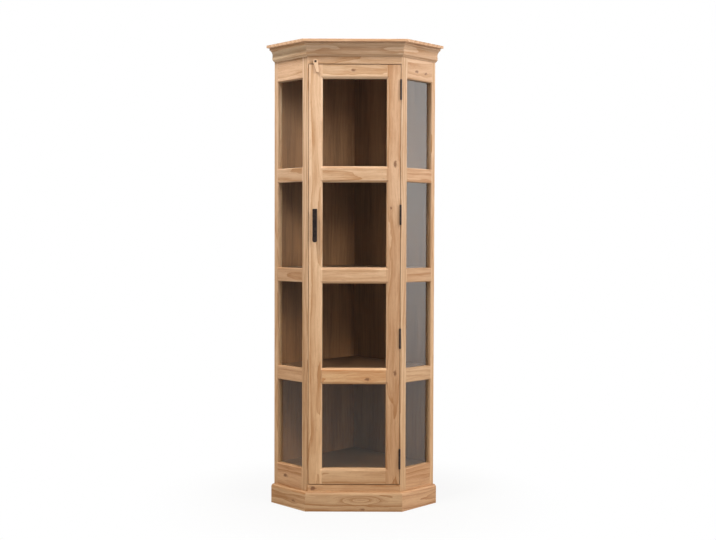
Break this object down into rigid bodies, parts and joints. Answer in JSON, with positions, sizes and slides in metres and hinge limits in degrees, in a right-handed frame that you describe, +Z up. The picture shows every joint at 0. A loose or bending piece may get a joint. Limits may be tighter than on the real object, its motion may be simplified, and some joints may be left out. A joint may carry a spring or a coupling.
{
  "type": "corner display cabinet",
  "caption": "Tall wooden corner display cabinet with a five-sided plan, a hinged glazed door between angled glazed sides, inner shelves, moulded cornice and plinth.",
  "frame": {"origin": "middle of the footprint's bounding box, on the floor", "axes": "+Z up; the door faces -Y; +X to the right seen from the front; the back corner points to +Y"},
  "size_m": [0.691, 0.4936, 1.8],
  "materials": {
    "acacia_wood": "light golden solid wood with a satin clear coat",
    "back_wood": "dark brown stained backs with a dull clear coat",
    "clear_glass": "clear float glass",
    "black_iron": "blackened iron, dull"
  },
  "bodies": {
    "carcass": {"back_panel_left": "back_wood", "back_panel_right": "back_wood", "cornice_front": "acacia_wood", "cornice_left": "acacia_wood", "cornice_right": "acacia_wood", "door_stops": "acacia_wood", "floor_board": "acacia_wood", "front_bottom_rail": "acacia_wood", "front_frieze_rail": "acacia_wood", "front_post_left": "acacia_wood", "front_post_right": "acacia_wood", "hinge_frame_leaves": "black_iron", "hinge_pins": "black_iron", "plinth_front": "acacia_wood", "plinth_left": "acacia_wood", "plinth_right": "acacia_wood", "rear_post_left": "acacia_wood", "rear_post_right": "acacia_wood", "shelf_cleats": "acacia_wood", "shelf_lower": "acacia_wood", "shelf_middle": "acacia_wood", "shelf_upper": "acacia_wood", "side_bottom_rail_left": "acacia_wood", "side_bottom_rail_right": "acacia_wood", "side_glazing_beads": "acacia_wood", "side_lower_rail_left": "acacia_wood", "side_lower_rail_right": "acacia_wood", "side_middle_rail_left": "acacia_wood", "side_middle_rail_right": "acacia_wood", "side_pane_left_1": "clear_glass", "side_pane_left_2": "clear_glass", "side_pane_left_3": "clear_glass", "side_pane_left_4": "clear_glass", "side_pane_right_1": "clear_glass", "side_pane_right_2": "clear_glass", "side_pane_right_3": "clear_glass", "side_pane_right_4": "clear_glass", "side_top_rail_left": "acacia_wood", "side_top_rail_right": "acacia_wood", "side_upper_rail_left": "acacia_wood", "side_upper_rail_right": "acacia_wood", "top_board": "acacia_wood", "turn_button_screw": "black_iron"},
    "door": {"door_bottom_rail": "acacia_wood", "door_glazing_beads": "acacia_wood", "door_lower_rail": "acacia_wood", "door_middle_rail": "acacia_wood", "door_pane_1": "clear_glass", "door_pane_2": "clear_glass", "door_pane_3": "clear_glass", "door_pane_4": "clear_glass", "door_stile_left": "acacia_wood", "door_stile_right": "acacia_wood", "door_top_rail": "acacia_wood", "door_upper_rail": "acacia_wood", "hinge_door_leaves": "black_iron", "handle_bar": "black_iron", "handle_posts": "black_iron"},
    "turn_button": {"turn_button": "acacia_wood"}
  },
  "joints": [
    {"name": "door_swing", "type": "hinge", "parent": "carcass", "child": "door", "pos_m": [0.176, -0.20897, 0.9065], "axis": [0, 0, 1], "range_deg": [0, 160]},
    {"name": "turn_button_pivot", "type": "hinge", "parent": "carcass", "child": "turn_button", "pos_m": [-0.15, -0.20477, 1.7206], "axis": [0, -1, 0], "range_deg": [-102, 78]}
  ]
}
